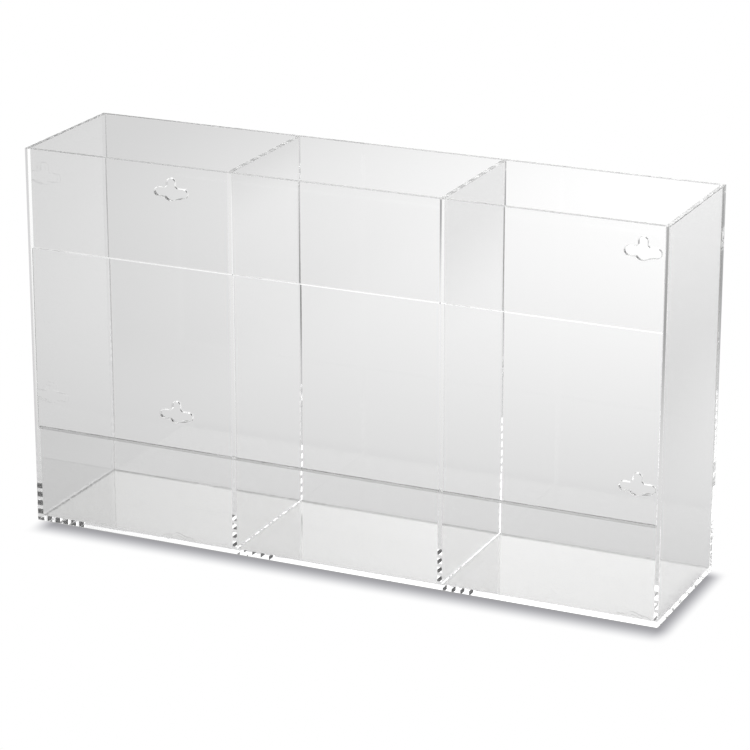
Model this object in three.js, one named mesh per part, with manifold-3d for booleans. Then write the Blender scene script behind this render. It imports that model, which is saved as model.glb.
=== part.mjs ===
// A clear acrylic box holder: an open-topped case of flat sheets, split into three equal bays.
// It stands on its floor panel, or hangs on a wall by the four keyholes in its back panel.
//
// Units are millimetres. The origin is the middle of the underside. +X runs along the width,
// to the right of a person facing the front, +Y runs back towards the wall, and +Z is up.
//
// How the sheets meet: the two side panels run the full depth and height. The back panel, the
// floor and the two front strips fit between them. The floor reaches from the lower front lip to
// the back panel, and the dividers stand on it behind both front strips. Every joint is a plain
// face-to-face solvent weld.

import * as THREE from 'three';
import { mergeVertices } from 'three/addons/utils/BufferGeometryUtils.js';
import Module from 'manifold-3d';

const wasm = await Module();
wasm.setup();

// Driving dimensions. Sheet and bay sizes are exact in binary, so welded faces meet exactly.
const SHEET = 3.25;          // thickness of every sheet
const BAYS = 3;
const BAY_WIDTH = 148;       // clear width of one bay
const DEPTH = 108;
const HEIGHT = 267;
const STRIP_HEIGHT = 69.5;   // both front strips; the open window is what they leave between them

const KEYHOLE_INSET = 54;          // keyhole centre to the outer face of the nearer side panel
const KEYHOLE_END_DISTANCE = 51;   // keyhole centre to the top or the bottom of the back panel
const KEYHOLE_RADIUS = 5.75;       // round opening that a screw head passes through
const SLOT_WIDTH = 6.5;            // slot that the screw's shank slides along
const SIDE_SLOT_REACH = 13;        // keyhole centre to the far end of a side slot
const TOP_SLOT_REACH = 10.5;       // keyhole centre to the top of the upper slot
const ARC_SEGMENTS = 16;           // steps in a half circle

// Sizes that follow from them.
const WIDTH = BAYS * BAY_WIDTH + (BAYS + 1) * SHEET;
const INNER_WIDTH = WIDTH - 2 * SHEET;
const INNER_DEPTH = DEPTH - 2 * SHEET;
const FRONT_SHEET_Y = -DEPTH / 2 + SHEET / 2;   // middle plane of the two front strips
const BACK_SHEET_Y = DEPTH / 2 - SHEET / 2;     // middle plane of the back panel
const SIDE_SHEET_X = WIDTH / 2 - SHEET / 2;     // middle plane of a side panel
const DIVIDER_X = BAY_WIDTH / 2 + SHEET / 2;    // middle plane of a divider

function clearAcrylic() {
  return new THREE.MeshStandardMaterial({
    color: 0xe9eeee,
    roughness: 0.04,
    metalness: 0,
    transparent: true,
    opacity: 0.35,
  });
}

function panel(name, geometry, position) {
  const mesh = new THREE.Mesh(geometry, clearAcrylic());
  mesh.name = name;
  mesh.position.set(...position);
  return mesh;
}

// Turns a closed geometry into a solid that can be cut.
function toSolid(geometry) {
  const bare = geometry.clone();
  bare.deleteAttribute('normal');
  bare.deleteAttribute('uv');
  const merged = mergeVertices(bare);
  return new wasm.Manifold(new wasm.Mesh({
    numProp: 3,
    vertProperties: new Float32Array(merged.attributes.position.array),
    triVerts: new Uint32Array(merged.index.array),
  }));
}

// Turns a cut solid back into a geometry with flat faces.
function toGeometry(solid) {
  const mesh = solid.getMesh();
  const shared = new THREE.BufferGeometry();
  shared.setAttribute('position', new THREE.BufferAttribute(mesh.vertProperties, 3));
  shared.setIndex(new THREE.BufferAttribute(mesh.triVerts, 1));
  const flat = shared.toNonIndexed();
  flat.computeVertexNormals();
  return flat;
}

// A slot from the keyhole's centre outwards, square at the centre and round at its far end.
function slotOutline(reach) {
  const halfWidth = SLOT_WIDTH / 2;
  const outline = new THREE.Shape();
  outline.moveTo(0, -halfWidth);
  outline.lineTo(reach - halfWidth, -halfWidth);
  outline.absarc(reach - halfWidth, 0, halfWidth, -Math.PI / 2, Math.PI / 2, false);
  outline.lineTo(0, halfWidth);
  outline.closePath();
  return outline;
}

// A cutter that passes right through the back panel, with its outline turned by angle about +Y.
function cutter(outline, angle, x, z) {
  const length = 3 * SHEET;
  const geometry = new THREE.ExtrudeGeometry(outline, {
    depth: length,
    bevelEnabled: false,
    curveSegments: ARC_SEGMENTS,
  });
  geometry.rotateZ(angle);
  geometry.rotateX(Math.PI / 2);
  geometry.translate(x, length / 2, z);
  return toSolid(geometry);
}

// One keyhole: a round opening with a slot to the left, to the right and upwards, so that the
// holder can be hung upright or on either end.
function keyhole(x, z) {
  const round = new THREE.Shape();
  round.absarc(0, 0, KEYHOLE_RADIUS, 0, 2 * Math.PI, false);
  return cutter(round, 0, x, z)
    .add(cutter(slotOutline(SIDE_SLOT_REACH), 0, x, z))
    .add(cutter(slotOutline(SIDE_SLOT_REACH), Math.PI, x, z))
    .add(cutter(slotOutline(TOP_SLOT_REACH), Math.PI / 2, x, z));
}

function backPanel() {
  const keyholeX = WIDTH / 2 - KEYHOLE_INSET;
  const keyholeZ = HEIGHT / 2 - KEYHOLE_END_DISTANCE;
  let solid = toSolid(new THREE.BoxGeometry(INNER_WIDTH, SHEET, HEIGHT));
  for (const x of [-keyholeX, keyholeX]) {
    for (const z of [-keyholeZ, keyholeZ]) {
      solid = solid.subtract(keyhole(x, z));
    }
  }
  return panel('back_panel', toGeometry(solid), [0, BACK_SHEET_Y, HEIGHT / 2]);
}

function sidePanel(name, side) {
  const geometry = new THREE.BoxGeometry(SHEET, DEPTH, HEIGHT);
  return panel(name, geometry, [side * SIDE_SHEET_X, 0, HEIGHT / 2]);
}

function floorPanel() {
  const geometry = new THREE.BoxGeometry(INNER_WIDTH, INNER_DEPTH, SHEET);
  return panel('floor_panel', geometry, [0, 0, SHEET / 2]);
}

function divider(name, side) {
  const height = HEIGHT - SHEET;
  const geometry = new THREE.BoxGeometry(SHEET, INNER_DEPTH, height);
  return panel(name, geometry, [side * DIVIDER_X, 0, SHEET + height / 2]);
}

function frontStrip(name, middleHeight) {
  const geometry = new THREE.BoxGeometry(INNER_WIDTH, SHEET, STRIP_HEIGHT);
  return panel(name, geometry, [0, FRONT_SHEET_Y, middleHeight]);
}

const holder = new THREE.Group();
holder.add(
  backPanel(),
  sidePanel('left_side_panel', -1),
  sidePanel('right_side_panel', 1),
  floorPanel(),
  divider('left_divider', -1),
  divider('right_divider', 1),
  frontStrip('upper_front_panel', HEIGHT - STRIP_HEIGHT / 2),
  frontStrip('lower_front_lip', STRIP_HEIGHT / 2),
);

export default holder;
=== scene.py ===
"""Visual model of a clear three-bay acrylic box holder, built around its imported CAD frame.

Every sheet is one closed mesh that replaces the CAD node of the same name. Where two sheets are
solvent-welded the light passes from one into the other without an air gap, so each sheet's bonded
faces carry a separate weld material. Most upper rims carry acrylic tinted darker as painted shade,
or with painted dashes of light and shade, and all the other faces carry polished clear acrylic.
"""

import math

import bmesh
import bpy
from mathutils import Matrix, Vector


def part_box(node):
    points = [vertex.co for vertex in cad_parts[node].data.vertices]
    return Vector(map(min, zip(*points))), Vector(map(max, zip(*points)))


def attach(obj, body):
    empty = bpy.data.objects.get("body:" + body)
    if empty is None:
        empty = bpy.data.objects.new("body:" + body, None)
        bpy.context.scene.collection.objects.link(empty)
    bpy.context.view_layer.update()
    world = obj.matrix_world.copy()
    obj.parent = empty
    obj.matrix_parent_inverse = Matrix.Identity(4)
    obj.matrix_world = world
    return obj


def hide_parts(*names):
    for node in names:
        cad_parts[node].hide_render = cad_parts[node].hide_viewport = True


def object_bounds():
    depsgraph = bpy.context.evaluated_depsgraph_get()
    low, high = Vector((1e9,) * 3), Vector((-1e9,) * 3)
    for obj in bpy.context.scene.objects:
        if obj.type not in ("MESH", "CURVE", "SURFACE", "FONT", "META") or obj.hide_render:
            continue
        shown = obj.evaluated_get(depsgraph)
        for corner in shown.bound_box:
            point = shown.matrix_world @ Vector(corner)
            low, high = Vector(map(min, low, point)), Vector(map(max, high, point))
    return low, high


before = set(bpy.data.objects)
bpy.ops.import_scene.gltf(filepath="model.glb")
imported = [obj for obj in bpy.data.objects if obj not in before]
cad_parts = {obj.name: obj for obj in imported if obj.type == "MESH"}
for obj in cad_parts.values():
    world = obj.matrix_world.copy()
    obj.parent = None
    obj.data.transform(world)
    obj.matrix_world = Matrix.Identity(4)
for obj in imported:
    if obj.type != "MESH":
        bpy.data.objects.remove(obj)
CAD_LOW, CAD_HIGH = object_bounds()
CAD_SIZE = CAD_HIGH - CAD_LOW
CENTRE = (CAD_LOW + CAD_HIGH) / 2

PANELS = sorted(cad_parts)
AXES = (0, 1, 2)

# Detail sizes, in metres.
SHEET = min(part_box("floor_panel")[1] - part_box("floor_panel")[0])
EDGE_BEVEL = 0.0003      # the free edges are eased a little
DIVIDER_BEVEL = 0.00008  # the dividers' edges are sharper: an eased one hides half the dashes
LIP_ROUND = 0.0015       # the lip's top edge is rounded further
BEAD = 0.0005            # bead of solvent cement up the two rear inside corners
WELD_GAP = 0.00001       # keeps the two faces of a weld apart, so that a ray meets both
TOUCH = 0.000001         # faces closer than this are in contact

EASE_STEPS = 2           # steps in an eased edge
LIP_STEPS = 4
SQUARE_FOLD = 1.0        # edges that fold by more than this, in radians, are square
PLACES = 7               # decimals that tell two cuts apart

# Keyholes, the same as in the CAD: a round opening with a slot to each side and one upwards.
KEYHOLE_INSET = 0.054
KEYHOLE_END_DISTANCE = 0.051
KEYHOLE_RADIUS = 0.00575
SLOT_HALF_WIDTH = 0.00325
SIDE_SLOT_REACH = 0.013
TOP_SLOT_REACH = 0.0105
ARC_STEPS = 24           # steps in a half circle
MIN_ARC_STEPS = 2

# Which material of a sheet a face carries.
CLEAR_SLOT = 0
WELD_SLOT = 1
RIM_SLOT = 2

# The upper rims carry a material of their own, tinted darker as painted shade, except on two
# sheets; on the dividers it is painted with dashes of light and shade. A face belongs to a rim if
# it looks upwards by more than the slope.
BARE_RIMS = ("right_side_panel", "floor_panel")
RIM_SLOPE = 0.5
LIP_SLOPE = 0.1          # the lip's rounded rim reaches further down its sides

# The painted dashes of light and shade on the dividers' rims: length of a light and a dark one, and
# tint of the light one.
DASHES = {"left_divider": (0.0137, 0.7), "right_divider": (0.0167, 0.9)}
DARK_DASH = 0.25
DASH_SOFTNESS = 0.3      # part of the swing over which a dash fades in

# The acrylic.
REFRACTION = 1.49
WAVE_SCALE = 14.0        # waves per metre in the unevenness of the surfaces
WAVE_DETAIL = 2
SMUDGE_DETAIL = 4
SMUDGE_START = 0.4       # values of the noise between which the polish goes from best to worst
SMUDGE_END = 0.8

# The studio, as it is seen through the sheets and in them. Where the camera sees it directly, it
# is plain white with a contact shadow. It gives its own light, so its shadows are drawn on it.
WHITE = (1.0, 1.0, 1.0)
FLOOR_HALF = 6.0
FLOOR_GAP = 0.0002       # keeps the floor just clear of the holder

# The world. At the rear the soft light follows the stops from the left edge to the middle, and
# what lies further right is as dark as the last stop.
SOFT_LIGHT = 1.7
SOFT_LIGHT_STOPS = (
    (0.0, (0.45, 0.45, 0.45)), (0.5, (0.45, 0.45, 0.45)), (0.65, WHITE), (0.85, WHITE),
    (1.0, (0.06, 0.06, 0.06)),
)
HORIZON = 0.75
HORIZON_LOW = 0.1        # sines of the heights between which the horizon turns into the light
HORIZON_HIGH = 0.2
FRONT_BLEND = 0.1        # how far the light of the front and the light of the rear overlap

# The painted pool of light on the floor: its middle, the reach over which it fades, the strength
# around it, and the rise in its middle.
POOL_X = 0.04
POOL_Y = 0.99
POOL_REACH_X = 0.83
POOL_REACH_Y = 1.12
POOL_BASE = 0.25
POOL_RISE = 0.85

# Away from here the floor turns as pale as the horizon, sooner to the sides than lengthways.
NEAR_X = -0.1
NEAR_Y = 0.45
NEAR_NARROW = 1.5
NEAR_REACH = 0.75
FAR_REACH = 1.6

# Painted shadows of two dark flags, which are not built: where each begins and is full, and the
# light that is left.
REAR_FLAG_X = (0.28, 0.42)
REAR_FLAG_Y = (0.0, 0.1)
REAR_FLAG = 0.4
FRONT_FLAG_X = (-0.22, -0.32)
FRONT_FLAG_Y = (-0.1, -0.25)
FRONT_FLAG = 0.3

# The painted shade on the floor under the holder, and under the band along its standing edges.
UNDER_FLOOR = 0.95
UNDER_EDGE = 0.45
BAND_START = 1.5 * SHEET
BAND_FULL = 0.8 * SHEET

# The contact shadow: its depth, and how far it reaches past each side of the holder.
SHADOW_DEPTH = 0.63
SHADOW_RIGHT = 0.014
SHADOW_LEFT = 0.001
SHADOW_FRONT = 0.026
SHADOW_REAR = 0.001
SHADOW_RISE = 0.015      # how far inside the left and rear outlines the shadow is full
COOL_SHADOW = (0.95, 0.95, 1.0)  # the shadow is a little blue
WARM_FLOOR = (1.0, 1.0, 0.99)    # the floor under the holder is a little yellow

# The camera, and where it aims: beside and below the centre, as parts of the holder's size.
AZIMUTH = math.radians(24.61)
ELEVATION = math.radians(18.75)
DISTANCE = 2.115
LENS = 151.5
SENSOR = 36
AIM_ASIDE = 0.011
AIM_BELOW = 0.04

BOUNCES = 192            # light caught in a side panel meets its faces over a hundred times


# ---------------------------------------------------------------- node helpers


class Graph:
    """Short ways to add nodes to one node tree."""

    def __init__(self, tree):
        self.tree = tree

    def node(self, kind, **settings):
        made = self.tree.nodes.new(kind)
        for key, value in settings.items():
            setattr(made, key, value)
        return made

    def feed(self, socket, value):
        if isinstance(value, bpy.types.NodeSocket):
            self.tree.links.new(value, socket)
        else:
            socket.default_value = value

    def maths(self, operation, *values):
        made = self.node("ShaderNodeMath", operation=operation)
        for socket, value in zip(made.inputs, values):
            self.feed(socket, value)
        return made.outputs[0]

    def between(self, value, start, end, low=0.0, high=1.0):
        """Eases from low at start to high at end, and stays level outside that."""
        made = self.node("ShaderNodeMapRange", interpolation_type="SMOOTHSTEP")
        for socket, number in zip(made.inputs, (value, start, end, low, high)):
            self.feed(socket, number)
        return made.outputs[0]

    def choose(self, factor, first, second):
        """The first value where the factor is 0, the second where it is 1."""
        made = self.node("ShaderNodeMix", data_type="FLOAT")
        self.feed(made.inputs["Factor"], factor)
        self.feed(made.inputs["A"], first)
        self.feed(made.inputs["B"], second)
        return made.outputs[0]

    def length(self, x, y):
        squares = [self.maths("MULTIPLY", v, v) for v in (x, y)]
        return self.maths("SQRT", self.maths("ADD", *squares))

    def noise(self, place, scale, detail):
        made = self.node("ShaderNodeTexNoise")
        self.feed(made.inputs["Vector"], place)
        self.feed(made.inputs["Scale"], scale)
        self.feed(made.inputs["Detail"], detail)
        return made.outputs["Fac"]

    def ramp(self, value, stops):
        """Runs through (position, colour) stops."""
        made = self.node("ShaderNodeValToRGB")
        self.feed(made.inputs[0], value)
        elements = made.color_ramp.elements
        while len(elements) < len(stops):
            elements.new(0.5)
        for element, (position, colour) in zip(elements, stops):
            element.position = position
            element.color = (*colour, 1)
        return made.outputs["Color"]

    def product(self, first, second):
        """Multiplies two colours."""
        made = self.node("ShaderNodeVectorMath", operation="MULTIPLY")
        self.feed(made.inputs[0], first)
        self.feed(made.inputs[1], second)
        return made.outputs["Vector"]

    def coordinates(self, vector):
        made = self.node("ShaderNodeSeparateXYZ")
        self.feed(made.inputs[0], vector)
        return made.outputs["X"], made.outputs["Y"], made.outputs["Z"]

    def surface(self, shader):
        """Makes a shader the surface of this material."""
        output = self.node("ShaderNodeOutputMaterial")
        self.feed(output.inputs["Surface"], shader)

    def seen_directly(self):
        """1 where the camera sees this with nothing of the holder in between, else 0."""
        path = self.node("ShaderNodeLightPath")
        bare = self.maths("LESS_THAN", path.outputs["Transparent Depth"], 0.5)
        return self.maths("MULTIPLY", path.outputs["Is Camera Ray"], bare)


# ---------------------------------------------------------------- materials


def new_material(name):
    material = bpy.data.materials.new(name)
    material.use_nodes = True
    material.node_tree.nodes.clear()
    return material, Graph(material.node_tree)


def grey(level):
    return (level, level, level)


def polished(name, tint, roughness, waviness, grain):
    """Clear acrylic with a faint unevenness in its surface and in its polish.

    The roughness is a pair, best and worst. The waviness is in metres, and the grain is the
    number of patches of worse polish per metre.
    """
    material, g = new_material(name)
    place = g.node("ShaderNodeTexCoord").outputs["Object"]
    shader = g.node("ShaderNodeBsdfPrincipled", name="acrylic")
    shader.inputs["Base Color"].default_value = (*grey(tint), 1)
    shader.inputs["Transmission Weight"].default_value = 1
    shader.inputs["IOR"].default_value = REFRACTION
    smudges = g.noise(place, grain, SMUDGE_DETAIL)
    polish = g.between(smudges, SMUDGE_START, SMUDGE_END, *roughness)
    g.feed(shader.inputs["Roughness"], polish)
    bump = g.node("ShaderNodeBump")
    bump.inputs["Strength"].default_value = 1
    bump.inputs["Distance"].default_value = waviness
    g.feed(bump.inputs["Height"], g.noise(place, WAVE_SCALE, WAVE_DETAIL))
    g.feed(shader.inputs["Normal"], bump.outputs["Normal"])
    g.surface(shader.outputs["BSDF"])
    return material


def clear_acrylic():
    return polished(
        "clear_acrylic", tint=1.0, roughness=(0.0, 0.03), waviness=0.00001, grain=45.0,
    )


def shaded_top_edge():
    """The upper rims, duller than the faces and tinted darker: painted shade for their view down
    into the sheets.
    """
    return polished(
        "shaded_top_edge", tint=0.45, roughness=(0.02, 0.12), waviness=0.0001, grain=400.0,
    )


def shaded_lip_edge():
    """The lip's rounded rim, duller than the faces and tinted darker as painted shade."""
    return polished(
        "shaded_lip_edge", tint=0.55, roughness=(0.12, 0.22), waviness=0.00005, grain=120.0,
    )


def dashed_edge(divider):
    """A divider's upper rim, tinted with light and dark dashes along its length.

    In a real sheet refraction makes such dashes of light and shade. Here they are painted, as the
    sheet's own refraction doesn't make them.
    """
    pitch, light = DASHES[divider]
    material = polished(
        divider + "_edge", tint=1.0, roughness=(0.02, 0.12), waviness=0.0001, grain=400.0,
    )
    g = Graph(material.node_tree)
    _, along, _ = g.coordinates(g.node("ShaderNodeTexCoord").outputs["Object"])
    swing = g.maths("SINE", g.maths("MULTIPLY", along, 2 * math.pi / pitch))
    dash = g.between(swing, -DASH_SOFTNESS, DASH_SOFTNESS)
    colour = g.ramp(dash, ((0.0, grey(DARK_DASH)), (1.0, grey(light))))
    g.feed(material.node_tree.nodes["acrylic"].inputs["Base Color"], colour)
    return material


def cement():
    """The beads of cement are a little grey and uneven."""
    return polished(
        "cement_bead", tint=0.85, roughness=(0.03, 0.15), waviness=0.0002, grain=300.0,
    )


def weld():
    material, g = new_material("solvent_weld")
    shader = g.node("ShaderNodeBsdfTransparent")
    shader.inputs["Color"].default_value = (1, 1, 1, 1)
    g.surface(shader.outputs["BSDF"])
    return material


# ---------------------------------------------------------------- sheets


def contacts_of(name):
    """The rectangles where this sheet touches others: (axis, side, low corner, high corner)."""
    low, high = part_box(name)
    found = []
    for other in PANELS:
        if other == name:
            continue
        other_low, other_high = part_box(other)
        for axis in AXES:
            across = [a for a in AXES if a != axis]
            shared_low = [max(low[a], other_low[a]) for a in across]
            shared_high = [min(high[a], other_high[a]) for a in across]
            if any(h - l < TOUCH for l, h in zip(shared_low, shared_high)):
                continue
            if abs(low[axis] - other_high[axis]) < TOUCH:
                found.append((axis, 0, shared_low, shared_high))
            if abs(high[axis] - other_low[axis]) < TOUCH:
                found.append((axis, 1, shared_low, shared_high))
    return found


def in_contact(centre, axis, side, contacts):
    across = [a for a in AXES if a != axis]
    for contact_axis, contact_side, low, high in contacts:
        if contact_axis != axis or contact_side != side:
            continue
        if all(l < centre[a] < h for a, l, h in zip(across, low, high)):
            return True
    return False


def face_side(face):
    """The axis that a box face looks along, and 0 or 1 for its low or high side."""
    normal = face.normal
    axis = max(AXES, key=lambda a: abs(normal[a]))
    return axis, int(normal[axis] > 0)


def ease_edges(body, reach, steps, lowest=-math.inf):
    """Rounds the square edges that lie above a height and don't border on a weld."""
    edges = [
        edge for edge in body.edges
        if edge.calc_face_angle(0) > SQUARE_FOLD and all(v.co.z > lowest for v in edge.verts)
        and not any(f.material_index == WELD_SLOT for f in edge.link_faces)
    ]
    bmesh.ops.bevel(
        body, geom=edges, offset=reach, segments=steps, profile=0.5, affect="EDGES",
        clamp_overlap=True, material=CLEAR_SLOT,
    )


def mark_rim(body, name):
    """Gives the faces of a sheet's upper rim their own material."""
    slope = LIP_SLOPE if name == "lower_front_lip" else RIM_SLOPE
    for face in body.faces:
        if face.normal.z > slope and face.material_index != WELD_SLOT:
            face.material_index = RIM_SLOT


def mesh_of(body, name):
    mesh = bpy.data.meshes.new(name)
    body.to_mesh(mesh)
    body.free()
    return mesh


def add_object(name, data):
    made = bpy.data.objects.new(name, data)
    bpy.context.scene.collection.objects.link(made)
    return made


def sheet_mesh(name):
    """A sheet's box, cut along its welds, with eased edges and a material for each kind of face."""
    low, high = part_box(name)
    contacts = contacts_of(name)
    thin = min(AXES, key=lambda a: high[a] - low[a])
    corners = [list(low), list(high)]
    for axis, side, _, _ in contacts:
        if axis != thin:
            corners[side][axis] = (high[axis] - WELD_GAP) if side else (low[axis] + WELD_GAP)
    body = bmesh.new()
    bmesh.ops.create_cube(body, size=1)
    for vertex in body.verts:
        vertex.co = Vector([corners[int(vertex.co[a] > 0)][a] for a in AXES])
    cuts = set()
    for axis, side, contact_low, contact_high in contacts:
        across = [a for a in AXES if a != axis]
        for a, l, h in zip(across, contact_low, contact_high):
            inner = [v for v in (l, h) if low[a] + TOUCH < v < high[a] - TOUCH]
            cuts.update((a, round(v, PLACES)) for v in inner)
    for axis, value in sorted(cuts):
        normal = Vector([float(a == axis) for a in AXES])
        geometry = body.verts[:] + body.edges[:] + body.faces[:]
        bmesh.ops.bisect_plane(body, geom=geometry, plane_co=normal * value, plane_no=normal)
    body.normal_update()
    for face in body.faces:
        axis, side = face_side(face)
        if in_contact(face.calc_center_median(), axis, side, contacts):
            face.material_index = WELD_SLOT
    if name == "lower_front_lip":
        ease_edges(body, LIP_ROUND, LIP_STEPS, high.z - TOUCH)
    ease_edges(body, DIVIDER_BEVEL if name in DASHES else EDGE_BEVEL, EASE_STEPS)
    body.normal_update()
    if name not in BARE_RIMS:
        mark_rim(body, name)
    return mesh_of(body, name)


# ---------------------------------------------------------------- keyholes


def keyhole_centres():
    inset_x = CAD_SIZE.x / 2 - KEYHOLE_INSET
    levels = (CAD_LOW.z + KEYHOLE_END_DISTANCE, CAD_HIGH.z - KEYHOLE_END_DISTANCE)
    return [(x, z) for x in (CENTRE.x - inset_x, CENTRE.x + inset_x) for z in levels]


def arc(cx, cz, radius, start, end):
    steps = max(MIN_ARC_STEPS, round(ARC_STEPS * abs(end - start) / math.pi))
    angles = [start + (end - start) * i / steps for i in range(steps + 1)]
    return [(cx + radius * math.cos(a), cz + radius * math.sin(a)) for a in angles]


def keyhole_outline(grow):
    """The keyhole's edge, grown outwards by a margin, anticlockwise about its centre."""
    radius = KEYHOLE_RADIUS + grow
    half = SLOT_HALF_WIDTH + grow
    quarter = math.pi / 2
    lean = math.asin(half / radius)
    side = SIDE_SLOT_REACH - SLOT_HALF_WIDTH
    top = TOP_SLOT_REACH - SLOT_HALF_WIDTH
    points = []
    points += arc(side, 0, half, -quarter, quarter)
    points += arc(0, 0, radius, lean, quarter - lean)
    points += arc(0, top, half, 0, math.pi)
    points += arc(0, 0, radius, quarter + lean, math.pi - lean)
    points += arc(-side, 0, half, quarter, 3 * quarter)
    points += arc(0, 0, radius, math.pi + lean, 2 * math.pi - lean)
    return points


def keyhole_cutter(x, z, y_low, y_high):
    """A plug the shape of a keyhole, flared at both faces so that it leaves an eased edge."""
    over = EDGE_BEVEL
    stations = (
        (y_low - over, EDGE_BEVEL + over),
        (y_low + EDGE_BEVEL, 0),
        (y_high - EDGE_BEVEL, 0),
        (y_high + over, EDGE_BEVEL + over),
    )
    cutter = bmesh.new()
    rings = []
    for y, grow in stations:
        rings.append([cutter.verts.new((x + px, y, z + pz)) for px, pz in keyhole_outline(grow)])
    count = len(rings[0])
    for near, far in zip(rings, rings[1:]):
        for i in range(count):
            j = (i + 1) % count
            cutter.faces.new((near[i], near[j], far[j], far[i]))
    cutter.faces.new(list(reversed(rings[0])))
    cutter.faces.new(rings[-1])
    bmesh.ops.recalc_face_normals(cutter, faces=cutter.faces[:])
    return add_object("keyhole_cutter", mesh_of(cutter, "keyhole_cutter"))


def cut_keyholes(panel):
    low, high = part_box("back_panel")
    for x, z in keyhole_centres():
        cutter = keyhole_cutter(x, z, low.y, high.y)
        modifier = panel.modifiers.new("keyhole", "BOOLEAN")
        modifier.operation = "DIFFERENCE"
        modifier.solver = "EXACT"
        modifier.object = cutter
        graph = bpy.context.evaluated_depsgraph_get()
        cut_mesh = bpy.data.meshes.new_from_object(panel.evaluated_get(graph))
        panel.modifiers.remove(modifier)
        panel.data = cut_mesh
        bpy.data.objects.remove(cutter)


# ---------------------------------------------------------------- assembly


def build_bead(name, x, inwards, material):
    """A bead of cement up the inside corner between the back panel and a side panel."""
    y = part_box("back_panel")[0].y - WELD_GAP
    x += inwards * WELD_GAP
    section = ((x, y), (x + inwards * BEAD, y), (x, y - BEAD))
    levels = (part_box("floor_panel")[1].z + WELD_GAP, CAD_HIGH.z - EDGE_BEVEL)
    points = [(px, py, z) for z in levels for px, py in section]
    body = bmesh.new()
    corners = [body.verts.new(p) for p in points]
    bmesh.ops.convex_hull(body, input=corners)
    bmesh.ops.recalc_face_normals(body, faces=body.faces[:])
    bead = add_object(name, mesh_of(body, name))
    bead.data.materials.append(material)
    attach(bead, "root")


def build_holder():
    acrylic = clear_acrylic()
    bond = weld()
    rims = dict.fromkeys(PANELS, shaded_top_edge())
    rims["lower_front_lip"] = shaded_lip_edge()
    rims.update((divider, dashed_edge(divider)) for divider in DASHES)
    for name in PANELS:
        sheet = add_object(name + "_sheet", sheet_mesh(name))
        for material in (acrylic, bond, rims[name]):
            sheet.data.materials.append(material)
        if name == "back_panel":
            cut_keyholes(sheet)
        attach(sheet, "root")
        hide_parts(name)
    beads = cement()
    build_bead("left_corner_bead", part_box("left_side_panel")[1].x, 1, beads)
    build_bead("right_corner_bead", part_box("right_side_panel")[0].x, -1, beads)


# ---------------------------------------------------------------- studio


def contact_shadow(g, x, y):
    """Drawn: dark at the holder's outline, fading out over a different width on each side."""
    left = g.between(x, CAD_LOW.x - SHADOW_LEFT, CAD_LOW.x + SHADOW_RISE)
    right = g.between(x, CAD_HIGH.x + SHADOW_RIGHT, CAD_HIGH.x)
    front = g.between(y, CAD_LOW.y - SHADOW_FRONT, CAD_LOW.y)
    rear = g.between(y, CAD_HIGH.y + SHADOW_REAR, CAD_HIGH.y - SHADOW_RISE)
    sideways = g.maths("MULTIPLY", left, right)
    lengthways = g.maths("MULTIPLY", front, rear)
    return g.choose(g.maths("MULTIPLY", sideways, lengthways), 1.0, 1.0 - SHADOW_DEPTH)


def footprint(g, x, y):
    """Painted shade on the floor under the holder: dim under its clear floor, dark under its
    standing edges.
    """
    beyond_x = g.maths("SUBTRACT", g.maths("ABSOLUTE", x), CAD_SIZE.x / 2)
    beyond_y = g.maths("SUBTRACT", g.maths("ABSOLUTE", y), CAD_SIZE.y / 2)
    beyond = g.maths("MAXIMUM", beyond_x, beyond_y)
    under = g.between(beyond, -BAND_START, -BAND_FULL, UNDER_FLOOR, UNDER_EDGE)
    return under, g.maths("LESS_THAN", beyond, 0)


def painted_flag_shadow(g, x, y, x_range, y_range, left_over):
    """The painted shadow of a flag, which is not built: the part of the light that it leaves."""
    cover = g.maths("MULTIPLY", g.between(x, *x_range), g.between(y, *y_range))
    return g.choose(cover, 1, left_over)


def floor_light(g, x, y):
    """A painted pool of light behind the holder, with painted flag shadows behind right and in
    front left.
    """
    across = g.maths("DIVIDE", g.maths("SUBTRACT", x, POOL_X), POOL_REACH_X)
    along = g.maths("DIVIDE", g.maths("SUBTRACT", y, POOL_Y), POOL_REACH_Y)
    squares = [g.maths("MULTIPLY", v, v) for v in (across, along)]
    fall = g.maths("POWER", math.exp(-1), g.maths("ADD", *squares))
    pool = g.maths("ADD", POOL_BASE, g.maths("MULTIPLY", POOL_RISE, fall))
    rear_flag = painted_flag_shadow(g, x, y, REAR_FLAG_X, REAR_FLAG_Y, REAR_FLAG)
    front_flag = painted_flag_shadow(g, x, y, FRONT_FLAG_X, FRONT_FLAG_Y, FRONT_FLAG)
    lit = g.maths("MULTIPLY", pool, g.maths("MULTIPLY", rear_flag, front_flag))
    sideways = g.maths("MULTIPLY", g.maths("SUBTRACT", x, NEAR_X), NEAR_NARROW)
    lengthways = g.maths("SUBTRACT", y, NEAR_Y)
    away = g.between(g.length(sideways, lengthways), NEAR_REACH, FAR_REACH)
    return g.choose(away, lit, HORIZON)


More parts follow.
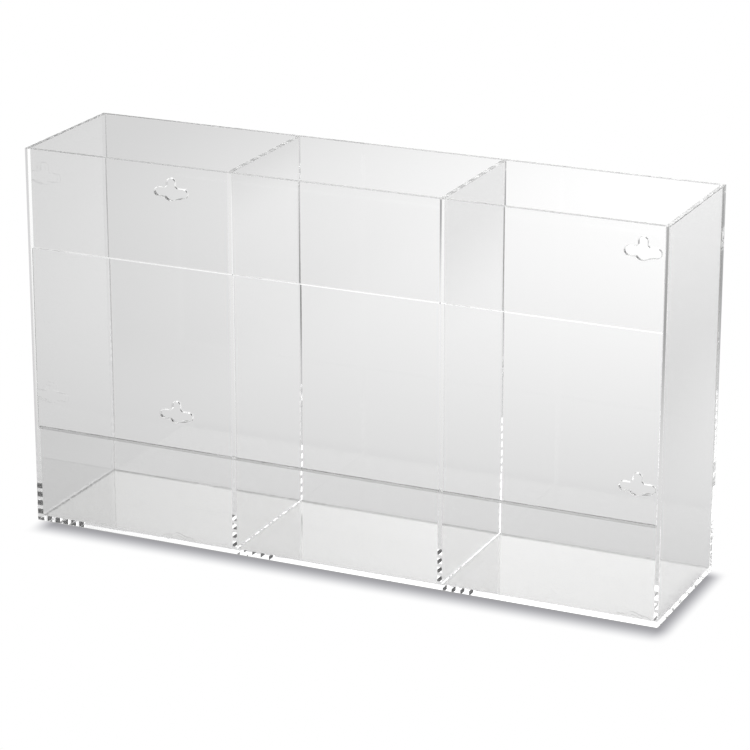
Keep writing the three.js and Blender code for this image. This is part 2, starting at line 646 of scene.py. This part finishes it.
def build_floor():
    z = CAD_LOW.z - FLOOR_GAP
    mesh = bpy.data.meshes.new("studio_floor")
    corners = [(-1, -1), (1, -1), (1, 1), (-1, 1)]
    mesh.from_pydata([(FLOOR_HALF * x, FLOOR_HALF * y, z) for x, y in corners], [], [(0, 1, 2, 3)])
    floor = add_object("studio_floor", mesh)
    material, g = new_material("studio_floor")
    x, y, _ = g.coordinates(g.node("ShaderNodeNewGeometry").outputs["Position"])
    shadow = contact_shadow(g, x, y)
    under, inside = footprint(g, x, y)
    shade = g.choose(inside, shadow, under)
    lit = g.maths("MULTIPLY", floor_light(g, x, y), shade)
    emission = g.node("ShaderNodeEmission")
    cool = g.ramp(g.choose(inside, shadow, 1.0), ((1 - SHADOW_DEPTH, COOL_SHADOW), (1.0, WHITE)))
    warm = g.ramp(inside, ((0.0, WHITE), (1.0, WARM_FLOOR)))
    g.feed(emission.inputs["Color"], g.product(cool, warm))
    g.feed(emission.inputs["Strength"], g.choose(g.seen_directly(), lit, shadow))
    g.surface(emission.outputs["Emission"])
    mesh.materials.append(material)


def build_world():
    """Soft light from the front and the rear left, a dark rear right, and a pale horizon."""
    world = bpy.data.worlds.new("studio")
    world.use_nodes = True
    g = Graph(world.node_tree)
    x, y, z = g.coordinates(g.node("ShaderNodeTexCoord").outputs["Generated"])
    sides = g.maths("MULTIPLY", g.ramp(g.maths("ADD", x, 1), SOFT_LIGHT_STOPS), SOFT_LIGHT)
    in_front = g.between(y, FRONT_BLEND, -FRONT_BLEND)
    light = g.choose(in_front, sides, SOFT_LIGHT)
    raised = g.between(g.maths("ABSOLUTE", z), HORIZON_LOW, HORIZON_HIGH)
    level = g.choose(raised, HORIZON, light)
    background = world.node_tree.nodes["Background"]
    background.inputs["Color"].default_value = (1, 1, 1, 1)
    g.feed(background.inputs["Strength"], g.choose(g.seen_directly(), level, 1.0))
    bpy.context.scene.world = world


def build_keyhole_films():
    """A staged clear film in each keyhole gives the studio the tone that it has through a sheet.

    Without the film, the camera would see the plain white studio through an open keyhole.
    """
    low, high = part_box("back_panel")
    middle = (low.y + high.y) / 2
    film_material = weld()
    outline = keyhole_outline(0)
    for x, z in keyhole_centres():
        mesh = bpy.data.meshes.new("keyhole_film")
        points = [(x + px, middle, z + pz) for px, pz in outline]
        mesh.from_pydata(points, [], [list(range(len(points)))])
        mesh.materials.append(film_material)
        add_object("keyhole_film", mesh)


def build_camera():
    target = CENTRE + Vector((AIM_ASIDE * CAD_SIZE.x, 0, -AIM_BELOW * CAD_SIZE.z))
    back = Vector((
        math.sin(AZIMUTH) * math.cos(ELEVATION),
        -math.cos(AZIMUTH) * math.cos(ELEVATION),
        math.sin(ELEVATION),
    ))
    data = bpy.data.cameras.new("camera")
    data.sensor_width = SENSOR
    data.lens = LENS
    camera = add_object("camera", data)
    camera.location = target + back * DISTANCE
    camera.rotation_euler = (-back).to_track_quat("-Z", "Y").to_euler()
    bpy.context.scene.camera = camera


def set_light_paths():
    scene = bpy.context.scene
    scene.view_settings.view_transform = "Standard"
    scene.cycles.max_bounces = BOUNCES
    scene.cycles.transmission_bounces = BOUNCES
    scene.cycles.glossy_bounces = BOUNCES
    scene.cycles.transparent_max_bounces = BOUNCES
    scene.cycles.use_denoising = True
    scene.cycles.denoiser = "OPENIMAGEDENOISE"


build_holder()
build_floor()
build_world()
build_keyhole_films()
build_camera()
set_light_paths()
